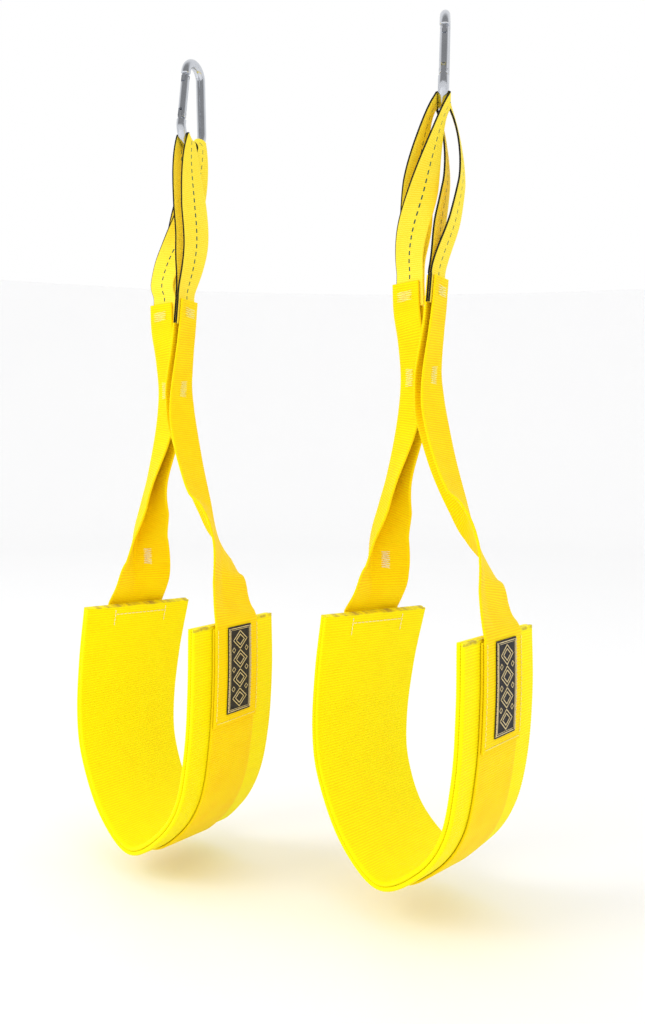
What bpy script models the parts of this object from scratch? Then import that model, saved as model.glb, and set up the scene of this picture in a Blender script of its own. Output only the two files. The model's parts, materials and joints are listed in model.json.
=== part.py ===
"""Pair of padded webbing arm slings, each hung from a snap hook.  Metres, +Z up.

Origin: midway between the two hang points, +X from the left sling to the right one.
Each sling is drawn in its own frame: x across the cuff's gap, y along the arm, z up,
with z = 0 where the bar or ring bears on the inside of the hook's top bend.
"""
import math

import bmesh
import bpy
import numpy as np

MM = 0.001

# ---- driving dimensions, millimetres and degrees --------------------------------------
PAIR_SPACING = 217.0
HANG_STEP = 7.5             # the right hook hangs this much higher than the left one
HOOK_LENGTH, ROD = 78.0, 7.8
HOOK_TOP_R, HOOK_BOTTOM_R = 11.5, 16.0          # centre-line radii of the two end bends
NOSE_TURN = 177.0           # the top bend runs this far round, to the nose
GATE_ROD = 7.0
GATE_FOOT, GATE_HEAD = 2.7, 2.4     # the gate reaches past its hinge and its latch
HINGE_Z, LATCH_Z = -43.0, -11.5
WIDE = 101.6                # cuff webbing, 4 in
STRAP = 54.0                # upright and carrier webbing, 2 in nominal
LOOP = 25.0                 # loop webbing, 1 in
CUFF_LAYER, STRAP_T, LOOP_T, LABEL_T = 3.2, 1.8, 1.4, 0.8
GAP = 0.3                   # between neighbouring layers
SEWN_GAP = 0.5              # under the carrier and the sewn ends of the uprights
CUFF_TOP = -454.2           # top edges of the cuff panels
STRAP_TOP = -195.0          # folded top ends of the uprights
SEWN = 78.0                 # length of upright sewn down on the cuff
TUCK = 20.0                 # length of loop sewn inside the upright's fold
FOLD_R = 3.0                # centre-line radius of the uprights' lengthwise fold
THREAD = 0.6                # height of a row of stitches
TACK_LIFT = 0.6             # clearance under a tack on a curved strap
TONGUE = (3.0, 5.6, 10.6)   # flats at the body's hinge and nose: thick, wide, long
TONGUE_BACK = 2.5           # from the hinge or the latch back to the middle of a tongue
NOTCH, NOTCH_IN = (6.0, 6.4, 3.2), 1.6      # the nose's notch and its offset inwards
SLOT_T, SLOT_W = 3.6, 9.0   # slots in the gate that straddle the tongues
LOW_SLOT, HIGH_SLOT = (0.4, 8.4), (-0.2, 8.0)       # offset from the pin, length
PIN_R, PIN_HOLE_R, PIN_HALF, DRILL = 1.2, 1.5, 3.3, 6.0
BORE_R, BORE_DEPTH = 2.2, 20.0
PLUNGER_R, PLUNGER_SPAN = 1.8, (5.0, 7.5)   # spans are measured from the hinge
SPRING_SPAN, SPRING_TURNS = (8.2, 18.8), 6
COIL_R, WIRE_R = 1.35, 0.28
CUFF_ROWS = 35              # stations round each cuff layer
CARRIER_TRIM = 2.5          # the carrier strap stops this far below the panels' top edges
END_SEAM_AT, SEAM_HALF = 75.4, 0.8          # depth and half width of the low seam
FLAT = 90.0                 # half opening of an unfolded strap

# Rims of the cuff's middle surface, from the left panel's top edge round to the right
# panel's: (x, depth below the top edge).
NEAR_RIM = [(-67, 0), (-73, 46), (-74, 92), (-65, 127), (-38, 166), (0, 186.5),
            (38, 167), (63, 136), (73, 92), (75.5, 46), (75, 0)]
FAR_RIM = [(-57, 0), (-69, 46), (-76, 94), (-73, 131), (-53, 167), (-13, 187),
           (20, 165), (41, 134), (51, 94), (54, 46), (52, 0)]

# Routes of the uprights' crease from the cuff up to the folded top end:
# (x, y, z, heading of the folded legs, half opening angle, crease offset from mid-width).
LEFT_UPRIGHT = [(-63, -4, -434, -2, 74, -5), (-65, -3.5, -417, 0, 50, -5),
                (-64, -2.5, -392, -2, 31, -4), (-56.5, -1, -367, -4, 20, -2),
                (-49.5, 1.5, -342, -15, 8, 0), (-43, 3.5, -302, 0, 3, 0),
                (-40.5, 4, -270, 0, 1, 0), (-40.5, 0, -241, 6, 0, 0),
                (-43.5, -3, -217, 10, 0, 0), (-44.5, -4, -195, 10, 0, 0)]
RIGHT_UPRIGHT = [(64, -10, -441, -163, 96, -11), (58.5, -8, -428, -159, 98, -10),
                 (55, -6, -412, -153, 97, -8), (47.5, -2, -396, -148, 93, -4),
                 (36, 2, -378, -140, 80, 0), (26.5, 5.5, -361, -137, 61, 3),
                 (13, 8, -332, -126, 44, 4), (2.5, 9, -302, -113, 28, 4),
                 (-3, 9, -283, -95, 12, 3), (-6, 8.5, -264, -83, 4, 1),
                 (-4.5, 8, -236, -74, 0, 0), (-2.7, 8, -217, -72, 0, 0),
                 (-2, 8.7, -195, -71, 0, 0)]

# Each sling turns by yaw about its hang point, and its hook by hook_yaw within that; lean
# is its slope from plumb and inner_twist an extra turn of the inner loop halfway up.
# "outer" and "inner" give the middle of each loop's pair of legs, at fractions of the way
# up from the strap to the hook: (fraction, x, y).
SLINGS = [
    {"name": "left", "side": -1, "yaw": -22.0, "hook_yaw": 109.0, "outer_end": 1,
     "lean": 0.0057, "inner_twist": -25.0,
     "outer": [(0.05, -30, -1.2), (0.13, -32, -2), (0.25, -28.5, 1), (0.4, -22, 5), (0.6, -15, 9),
               (0.8, -9.5, 13), (1, -2, 7.8)],
     "inner": [(0.05, 3.4, -5.9), (0.2, 7, -5), (0.4, 9.5, -5), (0.6, 9, -7.5),
               (0.8, 6.5, -11), (1, 2, -7.8)]},
    {"name": "right", "side": 1, "yaw": -28.0, "hook_yaw": 131.9, "outer_end": -1,
     "lean": 0.0095, "inner_twist": 0.0,
     "outer": [(0.05, -29.5, -1.1), (0.15, -28.5, -2.5), (0.3, -22, -6), (0.5, -12, -11),
               (0.7, -2, -17.5), (0.85, 5.2, -20.2), (1, 5, -6.2)],
     "inner": [(0.05, 3.4, -5.8), (0.3, 5, 1), (0.5, 6.5, 5.5), (0.7, 2, 14), (0.85, -5, 19),
               (1, -5, 6.2)]},
]
LOOP_HEADING = {"outer": 10.0, "inner": 109.0}      # of a loop's width at its upright
SETTLE = 24.0               # height in which an upright turns free of the panel
LEAN_WAY = (0.928, 0.373, 0.0)

YELLOW = (1.0, 0.72, 0.0)
PALE_YELLOW = (1.0, 0.86, 0.12)
THREAD_YELLOW = (0.96, 0.80, 0.20)
CHARCOAL = (0.03, 0.03, 0.035)
STEEL = (0.75, 0.77, 0.80)


# ---- helpers ---------------------------------------------------------------------------
def clear_scene():
    for obj in list(bpy.data.objects):
        bpy.data.objects.remove(obj, do_unlink=True)


def material(name, colour, roughness, metallic=0.0):
    mat = bpy.data.materials.new(name)
    mat.use_nodes = True
    bsdf = mat.node_tree.nodes["Principled BSDF"]
    bsdf.inputs["Base Color"].default_value = (*colour, 1.0)
    bsdf.inputs["Roughness"].default_value = roughness
    bsdf.inputs["Metallic"].default_value = metallic
    return mat


def unit(v):
    return v / np.linalg.norm(v, axis=-1, keepdims=True)


def heading(degrees):
    a = math.radians(degrees)
    return np.array([math.cos(a), math.sin(a), 0.0])


def smooth(points, count, fine=24):
    """Points evenly spaced along a Catmull-Rom curve through the given ones."""
    pts = np.asarray(points, float)
    ext = np.vstack([2 * pts[0] - pts[1], pts, 2 * pts[-1] - pts[-2]])
    t = np.linspace(0, 1, fine, endpoint=False)[:, None]
    parts = []
    for p0, p1, p2, p3 in zip(ext, ext[1:], ext[2:], ext[3:]):
        parts.append(0.5 * (2 * p1 + (p2 - p0) * t + (2 * p0 - 5 * p1 + 4 * p2 - p3) * t**2
                            + (3 * p1 - p0 - 3 * p2 + p3) * t**3))
    line = np.vstack([*parts, pts[-1:]])
    run = np.r_[0, np.cumsum(np.linalg.norm(np.diff(line[:, :3], axis=0), axis=1))]
    want = np.linspace(0, run[-1], count)
    return np.column_stack([np.interp(want, run, column) for column in line.T])


def to_world(sling, points):
    a = math.radians(sling["yaw"])
    turn = np.array([[math.cos(a), math.sin(a), 0], [-math.sin(a), math.cos(a), 0], [0, 0, 1]])
    place = [sling["side"] * PAIR_SPACING / 2, 0, sling["side"] * HANG_STEP / 2]
    points = np.asarray(points, float).reshape(-1, 3)
    lean = points[:, 2:] * sling["lean"] * np.array(LEAN_WAY)
    return (points @ turn + lean + place) * MM


def finish(name, bm, mat, pivot):
    """Makes the object with its origin on its pivot; bm is in world metres."""
    bmesh.ops.translate(bm, verts=bm.verts, vec=[-v for v in pivot])
    bmesh.ops.recalc_face_normals(bm, faces=bm.faces)
    mesh = bpy.data.meshes.new(name)
    bm.to_mesh(mesh)
    bm.free()
    mesh.shade_smooth()
    mesh.set_sharp_from_angle(angle=math.radians(40))
    obj = bpy.data.objects.new(name, mesh)
    obj.location = pivot
    obj.data.materials.append(mat)
    bpy.context.scene.collection.objects.link(obj)
    return obj


def normals(grid):
    return unit(np.cross(np.gradient(grid, axis=0), np.gradient(grid, axis=1)))


def thicken(sling, name, grid, low, high, mat, pivot):
    """A closed strip between two offsets of a surface given as rows of points."""
    n = normals(grid)
    rows, cols = grid.shape[:2]
    bm = bmesh.new()
    sides = []
    for offset in (low, high):
        points = to_world(sling, grid + n * offset).reshape(rows, cols, 3)
        sides.append([[bm.verts.new(p) for p in row] for row in points])
    for side in sides:
        for a, b in zip(side, side[1:]):
            for j in range(cols - 1):
                bm.faces.new([a[j], b[j], b[j + 1], a[j + 1]])
    low_v, high_v = sides
    edges = [((i, j), (i + 1, j)) for i in range(rows - 1) for j in (0, cols - 1)]
    edges += [((i, j), (i, j + 1)) for j in range(cols - 1) for i in (0, rows - 1)]
    for (i, j), (k, m) in edges:
        bm.faces.new([low_v[i][j], low_v[k][m], high_v[k][m], high_v[i][j]])
    bmesh.ops.triangulate(bm, faces=bm.faces)
    return finish(name, bm, mat, pivot)


def sweep_rod(sling, name, path, axis, radius, sides, mat, pivot):
    """A round rod along a path; axis is a direction the path never runs along."""
    path = np.asarray(path, float)
    tangent = unit(np.gradient(path, axis=0))
    side = unit(np.cross(axis, tangent))
    up = np.cross(tangent, side)
    turn = np.arange(sides) * math.tau / sides
    bm = bmesh.new()
    rings = []
    for p, s, u in zip(path, side, up):
        ring = p + radius * (np.outer(np.cos(turn), s) + np.outer(np.sin(turn), u))
        rings.append([bm.verts.new(v) for v in to_world(sling, ring)])
    for low, high in zip(rings, rings[1:]):
        for k in range(sides):
            m = (k + 1) % sides
            bm.faces.new([low[k], low[m], high[m], high[k]])
    for ring in (rings[0], rings[-1]):
        bm.faces.new(ring)
    return finish(name, bm, mat, pivot)


def box(sling, name, frame, size, mat, pivot):
    """A box on three axes (rows of frame[1:]) about the centre frame[0]."""
    centre, axes = np.asarray(frame[0], float), np.asarray(frame[1:], float)
    signs = np.array([(x, y, z) for x in (-1, 1) for y in (-1, 1) for z in (-1, 1)])
    points = centre + (signs * np.asarray(size) / 2) @ axes
    bm = bmesh.new()
    corners = [bm.verts.new(p) for p in to_world(sling, points)]
    quads = ((0, 1, 3, 2), (4, 5, 7, 6), (0, 1, 5, 4), (2, 3, 7, 6), (0, 2, 6, 4), (1, 3, 7, 5))
    for quad in quads:
        bm.faces.new([corners[k] for k in quad])
    return finish(name, bm, mat, pivot)


def cut(obj, cutter, operation="DIFFERENCE"):
    cutter.hide_render = True
    cutter.display_type = "WIRE"
    cutter.name = "cutter_" + cutter.name
    mod = obj.modifiers.new(operation.lower(), "BOOLEAN")
    mod.operation = operation
    mod.object = cutter


# ---- hook ------------------------------------------------------------------------------
def hook_frame(sling):
    """Unit axes of the hook: along its plane, across it, up."""
    along = heading(sling["hook_yaw"])
    return along, np.cross(along, [0, 0, 1.0]), np.array([0, 0, 1.0])


TOP_CENTRE = (1.0, ROD / 2 - HOOK_TOP_R)                              # (along, z)
BOTTOM_CENTRE = (0.0, ROD - HOOK_LENGTH + ROD / 2 + HOOK_BOTTOM_R)


def hook_points(sling, flat):
    along, _, up = hook_frame(sling)
    return np.array([a * along + z * up for a, z in flat])


def arc(centre, radius, start, end, count):
    turn = np.radians(np.linspace(start, end, count))
    return [(centre[0] + radius * math.cos(t), centre[1] + radius * math.sin(t)) for t in turn]


def on_gate_line(z):
    """The point at height z on the line that joins the gate sides of the two bends."""
    f = (z - BOTTOM_CENTRE[1]) / (TOP_CENTRE[1] - BOTTOM_CENTRE[1])
    low, high = BOTTOM_CENTRE[0] - HOOK_BOTTOM_R, TOP_CENTRE[0] - HOOK_TOP_R
    return low + f * (high - low), z


def gate_frame(sling):
    """Hinge point, latch point, direction from one to the other, and inwards."""
    hinge, latch = hook_points(sling, [on_gate_line(HINGE_Z), on_gate_line(LATCH_Z)])
    gate_dir = unit(latch - hinge)
    return hinge, latch, gate_dir, np.cross(gate_dir, hook_frame(sling)[1])


def along_line(point, direction, *distances):
    return [point + direction * d for d in distances]


def make_hook(sling, steel):
    name = sling["name"]
    across = hook_frame(sling)[1]
    hinge, latch, gate_dir, inward = gate_frame(sling)
    root = to_world(sling, [[0, 0, 0]])[0]
    # Gate-side stub, bottom bend, spine, top bend, nose.
    line = hook_points(sling, [on_gate_line(HINGE_Z - ROD / 2),
                               *arc(BOTTOM_CENTRE, HOOK_BOTTOM_R, 180, 360, 15),
                               *arc(TOP_CENTRE, HOOK_TOP_R, 0, NOSE_TURN, 13)])
    body = sweep_rod(sling, f"{name}_hook_body", line, across, ROD / 2, 12, steel, root)
    for label, point, reach in (("hinge", hinge, 1), ("nose", latch, -1)):
        frame = [point - gate_dir * reach * TONGUE_BACK, across, inward, gate_dir]
        cut(body, box(sling, f"{name}_{label}_tongue", frame, TONGUE, steel, root), "UNION")
    cut(body, sweep_rod(sling, f"{name}_hinge_hole", along_line(hinge, across, -DRILL, 0, DRILL),
                        gate_dir, PIN_HOLE_R, 12, steel, root))
    # The latch pin drops out of this notch when the gate turns inwards.
    frame = [latch + inward * NOTCH_IN, across, inward, gate_dir]
    cut(body, box(sling, f"{name}_latch_notch", frame, NOTCH, steel, root))
    sweep_rod(sling, f"{name}_hinge_rivet", along_line(hinge, across, -PIN_HALF, 0, PIN_HALF),
              gate_dir, PIN_R, 12, steel, root)


def make_gate(sling, steel):
    """A bored rod, slotted at both ends to straddle the body's tongues."""
    name = sling["name"]
    across = hook_frame(sling)[1]
    hinge, latch, gate_dir, inward = gate_frame(sling)
    pivot = to_world(sling, [hinge])[0]
    reach = np.linalg.norm(latch - hinge) + GATE_HEAD
    line = along_line(hinge, gate_dir, -GATE_FOOT, reach / 2, reach)
    gate = sweep_rod(sling, f"{name}_gate", line, across, GATE_ROD / 2, 16, steel, pivot)
    for label, point, (offset, length) in (("low", hinge, LOW_SLOT), ("high", latch, HIGH_SLOT)):
        frame = [point + gate_dir * offset, across, inward, gate_dir]
        size = (SLOT_T, SLOT_W, length)
        cut(gate, box(sling, f"{name}_slot_{label}", frame, size, steel, pivot))
    line = along_line(hinge, gate_dir, 0, BORE_DEPTH / 2, BORE_DEPTH)
    cut(gate, sweep_rod(sling, f"{name}_gate_bore", line, across, BORE_R, 12, steel, pivot))
    for label, point in (("hinge", hinge), ("latch", latch)):
        cut(gate, sweep_rod(sling, f"{name}_{label}_pin_hole",
                            along_line(point, across, -DRILL, 0, DRILL), gate_dir, PIN_HOLE_R,
                            12, steel, pivot))
    sweep_rod(sling, f"{name}_latch_pin", along_line(latch, across, -PIN_HALF, 0, PIN_HALF),
              gate_dir, PIN_R, 12, steel, pivot)
    line = along_line(hinge, gate_dir, PLUNGER_SPAN[0], sum(PLUNGER_SPAN) / 2, PLUNGER_SPAN[1])
    sweep_rod(sling, f"{name}_spring_plunger", line, across, PLUNGER_R, 12, steel, pivot)
    turn = np.linspace(0, SPRING_TURNS * math.tau, SPRING_TURNS * 8 + 1)
    axis = hinge + np.outer(np.linspace(*SPRING_SPAN, len(turn)), gate_dir)
    coil = axis + COIL_R * (np.outer(np.cos(turn), inward) + np.outer(np.sin(turn), across))
    sweep_rod(sling, f"{name}_gate_spring", coil, gate_dir, WIRE_R, 5, steel, pivot)


# ---- cuff ------------------------------------------------------------------------------
def rim(points, y, samples=161):
    flat = smooth(points, samples)
    return np.column_stack([flat[:, 0], np.full(samples, y), CUFF_TOP - flat[:, 1]])


NEAR, FAR = rim(NEAR_RIM, -WIDE / 2), rim(FAR_RIM, WIDE / 2)
RIM_LENGTH = np.linalg.norm(np.diff(NEAR, axis=0), axis=1).sum()


def cuff_grid(s_values, w_values, offset=0.0):
    """Points of the cuff at fractions s round its rim and w across it, moved outwards."""
    at = np.asarray(s_values, float) * (len(NEAR) - 1)
    near, far = (np.column_stack([np.interp(at, np.arange(len(r)), c) for c in r.T])
                 for r in (NEAR, FAR))
    near_t, far_t = (np.column_stack([np.interp(at, np.arange(len(r)), c)
                                      for c in np.gradient(r, axis=0).T]) for r in (NEAR, FAR))
    w = np.asarray(w_values, float)[None, :, None]
    grid = near[:, None] * (1 - w) + far[:, None] * w
    along = near_t[:, None] * (1 - w) + far_t[:, None] * w
    out = unit(np.cross((far - near)[:, None] * np.ones_like(w), along))
    return grid + offset * out, out


LAYER_1 = (-CUFF_LAYER - GAP / 2, -GAP / 2)
LAYER_2 = (GAP / 2, GAP / 2 + CUFF_LAYER)
CARRIER_AT = (LAYER_2[1] + SEWN_GAP, LAYER_2[1] + SEWN_GAP + STRAP_T)
UPRIGHT_AT = CARRIER_AT[1] + SEWN_GAP + STRAP_T / 2          # upright's middle surface
LABEL_AT = (UPRIGHT_AT + STRAP_T / 2 + GAP, UPRIGHT_AT + STRAP_T / 2 + GAP + LABEL_T)
LEFT_W, RIGHT_W = 0.515, 0.47      # fractions across the panels where the uprights sit
LABEL_REACH, LABEL_SPAN = (70.0, 3.0), (-13.0, 16.0)        # depths, places across
SEAM, TOP_SEAM_AT = 48.0, 7.0


def carrier_middle(s):
    return LEFT_W + (RIGHT_W - LEFT_W) * np.clip((np.asarray(s) - 0.2) / 0.6, 0, 1)


def cuff_strip(sling, name, s_values, w_rows, at, mat, pivot):
    """A strip on the cuff: w_rows gives the across fractions at each s."""
    pairs = [cuff_grid([s], row) for s, row in zip(s_values, w_rows)]
    grid, out = (np.array([pair[k][0] for pair in pairs]) for k in (0, 1))
    sign = np.sign((normals(grid) * out).sum())
    low, high = sorted((at[0] * sign, at[1] * sign))
    return thicken(sling, name, grid, low, high, mat, pivot)


def make_cuff(sling, mats, pivot):
    name = sling["name"]
    s = np.linspace(0, 1, CUFF_ROWS)
    full = [np.linspace(0, 1, 3)] * len(s)
    cuff_strip(sling, f"{name}_cuff_inner_layer", s, full, LAYER_1, mats["yellow"], pivot)
    cuff_strip(sling, f"{name}_cuff_outer_layer", s, full, LAYER_2, mats["yellow"], pivot)
    half = STRAP / WIDE / 2
    trim = CARRIER_TRIM / RIM_LENGTH
    s[[0, -1]] = trim, 1 - trim
    rows = [carrier_middle(v) + np.linspace(-half, half, 3) for v in s]
    cuff_strip(sling, f"{name}_carrier_strap", s, rows, CARRIER_AT, mats["yellow"], pivot)
    label_s = 1 - np.linspace(*LABEL_REACH, 9) / RIM_LENGTH
    rows = [RIGHT_W + np.linspace(*LABEL_SPAN, 3) / WIDE] * len(label_s)
    cuff_strip(sling, f"{name}_label", label_s, rows, LABEL_AT, mats["charcoal"], pivot)
    inside = LAYER_1[0] - GAP
    outside = UPRIGHT_AT + STRAP_T / 2 + GAP
    for end, middle in (("outer", LEFT_W), ("inner", RIGHT_W)):
        w = middle + np.linspace(-SEAM / 2, SEAM / 2, 5) / WIDE
        seams = (("top_seam", TOP_SEAM_AT, (inside - THREAD, inside)),
                 ("end_seam", END_SEAM_AT, (outside, outside + THREAD)))
        for label, depth, at in seams:
            seam_s = np.array([depth - SEAM_HALF, depth + SEAM_HALF]) / RIM_LENGTH
            seam_s = seam_s if end == "outer" else 1 - seam_s
            cuff_strip(sling, f"{name}_{label}_{end}", seam_s, [w, w], at, mats["thread"], pivot)


# ---- uprights --------------------------------------------------------------------------
def fold_section(u, opening, crease):
    """Middle line of a strap folded lengthwise: (along legs, across) at widths u."""
    turn = math.radians(FLAT - opening)
    distance = u - crease
    reach = np.abs(distance)
    bend = FOLD_R * turn
    angle = np.minimum(reach / FOLD_R, turn)
    legs = FOLD_R * (1 - np.cos(angle)) + np.maximum(reach - bend, 0) * math.sin(turn)
    across = FOLD_R * np.sin(angle) + np.maximum(reach - bend, 0) * math.cos(turn)
    return legs, np.sign(distance) * across


def square_to(tangent, degrees):
    """The horizontal heading, turned square to the tangent."""
    flat = heading(degrees)
    return unit(flat - tangent * (flat @ tangent))


def upright_grid(which, u_values, rows_free=25, rows_sewn=8):
    """Middle surface of an upright, from its sewn end up to its folded top end."""
    left = which == "left"
    u = np.asarray(u_values, float)
    sewn = np.linspace(SEWN, 2.0, rows_sewn) / RIM_LENGTH
    middle = LEFT_W if left else RIGHT_W
    lower, _ = cuff_grid(sewn if left else 1 - sewn, middle + u / WIDE, UPRIGHT_AT)
    route = LEFT_UPRIGHT if left else RIGHT_UPRIGHT
    crease = route[0][5]
    start, normal = cuff_grid([0 if left else 1], [middle + crease / WIDE], UPRIGHT_AT)
    angle = math.degrees(math.atan2(-normal[0, 0][1], -normal[0, 0][0]))
    line = smooth([(*start[0, 0], angle, FLAT, crease), *route], rows_free)
    side = 1 if left else -1
    rows = []
    for row, t in zip(line, unit(np.gradient(line[:, :3], axis=0))):
        legs_dir = square_to(t, row[3])
        legs, across = fold_section(u, *row[4:])
        free = ease(np.clip((row[2] - CUFF_TOP) / SETTLE, 0, 1))
        across_dir = side * unit(free * np.cross(t, legs_dir) + (1 - free) * heading(row[3] + 90))
        rows.append(row[:3] + np.outer(legs, legs_dir) + np.outer(across, across_dir))
    return np.concatenate([lower, np.array(rows)])


SECTION = (-27.0, -10.0, -5.0, -2.4, 0.0, 2.4, 5.0, 10.0, 27.0)
# Stitched tacks on an upright: (name, height of the middle, half length, from and to
# across the strap on the leg that carries them, on the fold's outside or inside).
TACKS = [("loop_tack", -205, 4, (7, 21), 1), ("grip_tack", -268, 7, (9, 17), 1),
         ("fold_tack", -412, 7, (4, 11), -1)]
LEG = {"left": {"loop_tack": -1, "grip_tack": -1, "fold_tack": 1},
       "right": {"loop_tack": -1, "grip_tack": -1, "fold_tack": 1}}


def make_uprights(sling, mats, pivot):
    for which, end in (("left", "outer"), ("right", "inner")):
        name = f"{sling['name']}_upright_{end}"
        grid = upright_grid(which, SECTION)
        thicken(sling, name, grid, -STRAP_T / 2, STRAP_T / 2, mats["yellow"], pivot)
        for label, height, half, span, face in TACKS:
            across = sorted(LEG[which][label] * u for u in np.linspace(*span, 3))
            fine = upright_grid(which, across, rows_free=201)
            rows = [int(np.abs(fine[:, 1, 2] - z).argmin())
                    for z in np.linspace(height - half, height + half, 3)]
            out = face * (1 if which == "left" else -1)
            lift = STRAP_T / 2 + TACK_LIFT
            low, high = sorted((out * lift, out * (lift + THREAD)))
            thicken(sling, f"{sling['name']}_{label}_{end}", fine[rows], low, high,
                    mats["thread"], pivot)


# ---- loops -----------------------------------------------------------------------------
BUNCHED = 10.5              # width of a loop where it is gathered over the hook's rod
TUCK_IN = 15.4              # from the fold's crease to the middle of the loop inside it
PLY = 0.95                  # from the middle of the pair of legs to each, where sewn
BOW = 0.8                   # how far each leg bows out
FREE_FROM = 0.05            # fraction of the way up where the pair of legs parts
GATHER_FROM = 0.55          # fraction of the way up where a loop starts to gather
LAP = 0.08                  # half angle in radians between the two loops on the rod
WRAP_R = ROD / 2 + SEWN_GAP + LOOP_T / 2


def ease(x):
    return x * x * (3 - 2 * x)


def loop_grid(sling, which, y_values, leg_rows=11, wrap_rows=7):
    """Middle surface of a loop: up one leg, over the rod, down the other leg."""
    along, across, up = hook_frame(sling)
    y = np.asarray(y_values, float)
    outer = which == "outer"
    end = sling["outer_end"] * (1 if outer else -1)
    spread = BUNCHED / LOOP / (HOOK_BOTTOM_R - WRAP_R)
    phi = end * (LOOP / 2 * spread + LAP) + y * spread
    centre = BOTTOM_CENTRE[0] * along + BOTTOM_CENTRE[1] * up
    rod_low = centre[2] - HOOK_BOTTOM_R
    fold = smooth(LEFT_UPRIGHT if outer else RIGHT_UPRIGHT, 200)
    fold_t = unit(np.gradient(fold[:, :3], axis=0))

    def tuck(height):
        """Middle and width direction of the loop's end inside the fold."""
        k = int(np.abs(fold[:, 2] - height).argmin())
        legs_dir = square_to(fold_t[k], fold[k, 3])
        return fold[k, :3] + TUCK_IN * legs_dir, legs_dir * (1 if outer else -1), fold_t[k]

    mouth = tuck(STRAP_TOP)[0]
    route = smooth([(0, *mouth[:2]), *sling[which]], 80)

    def wrap(tau):
        r = HOOK_BOTTOM_R - WRAP_R * math.cos(tau)
        return (centre + np.outer(r * np.sin(phi), along) - np.outer(r * np.cos(phi), up)
                + WRAP_R * math.sin(tau) * across)

    def leg(side, v):
        if v < 0:
            middle, width_dir, t = tuck(STRAP_TOP + TUCK * v)
            return middle + np.outer(y, width_dir) + side * PLY * np.cross(width_dir, t)
        spot = [np.interp(v, route[:, 0], route[:, k]) for k in (1, 2)]
        free = max(v - FREE_FROM, 0) / (1 - FREE_FROM)
        to_rod = ease(np.clip((v - GATHER_FROM) / (1 - GATHER_FROM), 0, 1))
        turn = LOOP_HEADING[which]
        twist = 0.0 if outer else sling["inner_twist"] * math.sin(math.pi * free)
        width_dir = heading(turn + (sling["hook_yaw"] - turn) * ease(free) + twist)
        height = STRAP_TOP + (rod_low - STRAP_TOP) * v
        apart = PLY + (WRAP_R - PLY) * ease(min(free * 3, 1.0)) + BOW * math.sin(math.pi * free)
        flat = (np.array([*spot, height]) + np.outer(y, width_dir)
                + side * apart * np.cross(width_dir, up))
        return flat * (1 - to_rod) + wrap(side * math.pi / 2) * to_rod

    fractions = [-1.0, -0.5, 0.0, *np.linspace(FREE_FROM, 1.0, leg_rows)]
    over = [wrap(t) for t in np.linspace(-math.pi / 2, math.pi / 2, wrap_rows + 2)[1:-1]]
    return np.array([*(leg(-1, v) for v in fractions), *over,
                     *(leg(1, v) for v in reversed(fractions))])


def make_loops(sling, mats, pivot):
    for which in ("outer", "inner"):
        grid = loop_grid(sling, which, np.linspace(-LOOP / 2, LOOP / 2, 5))
        thicken(sling, f"{sling['name']}_loop_{which}", grid, -LOOP_T / 2, LOOP_T / 2,
                mats["pale"], pivot)


# ---- assembly --------------------------------------------------------------------------
def main():
    clear_scene()
    mats = {
        "steel": material("polished_steel", STEEL, 0.18, 1.0),
        "yellow": material("yellow_webbing", YELLOW, 0.75),
        "pale": material("pale_webbing", PALE_YELLOW, 0.7),
        "thread": material("tack_thread", THREAD_YELLOW, 0.8),
        "charcoal": material("charcoal_label", CHARCOAL, 0.7),
    }
    for sling in SLINGS:
        rod = [0, 0, BOTTOM_CENTRE[1] - HOOK_BOTTOM_R]
        swing_pivot = to_world(sling, [rod])[0]
        flex_pivot = to_world(sling, [[-12, 0, STRAP_TOP]])[0]
        make_hook(sling, mats["steel"])
        make_gate(sling, mats["steel"])
        make_loops(sling, mats, swing_pivot)
        make_uprights(sling, mats, flex_pivot)
        make_cuff(sling, mats, flex_pivot)


main()
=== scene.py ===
"""Looks of the pair of hanging arm slings: webbing, thread, label and polished hooks.

Lengths are millimetres in each sling's own frame, as the CAD model draws it: x across the
cuff's gap, y along the arm, z up from the inside of the hook's top bend.
"""
import json
import math

import bmesh
import bpy
import numpy as np
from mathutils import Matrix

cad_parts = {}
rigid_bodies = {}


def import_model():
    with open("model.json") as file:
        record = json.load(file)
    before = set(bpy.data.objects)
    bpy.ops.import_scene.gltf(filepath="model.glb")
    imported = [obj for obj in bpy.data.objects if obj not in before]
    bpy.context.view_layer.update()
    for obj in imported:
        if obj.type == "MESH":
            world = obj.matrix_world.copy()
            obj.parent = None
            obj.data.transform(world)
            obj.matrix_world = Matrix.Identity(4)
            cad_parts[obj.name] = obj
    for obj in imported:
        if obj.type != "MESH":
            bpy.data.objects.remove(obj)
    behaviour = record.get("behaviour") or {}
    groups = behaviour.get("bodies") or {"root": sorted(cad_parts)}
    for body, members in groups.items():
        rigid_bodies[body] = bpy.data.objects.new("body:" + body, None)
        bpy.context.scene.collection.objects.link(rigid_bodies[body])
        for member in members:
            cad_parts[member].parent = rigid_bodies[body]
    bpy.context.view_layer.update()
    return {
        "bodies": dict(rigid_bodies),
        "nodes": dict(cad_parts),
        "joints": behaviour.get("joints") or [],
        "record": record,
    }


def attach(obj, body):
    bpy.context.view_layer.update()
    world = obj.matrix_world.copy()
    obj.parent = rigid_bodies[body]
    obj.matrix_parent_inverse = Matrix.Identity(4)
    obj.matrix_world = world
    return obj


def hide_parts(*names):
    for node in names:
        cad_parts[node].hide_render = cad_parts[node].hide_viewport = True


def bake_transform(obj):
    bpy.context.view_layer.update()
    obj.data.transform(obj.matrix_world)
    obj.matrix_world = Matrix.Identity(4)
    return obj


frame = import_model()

MM = 0.001

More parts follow.
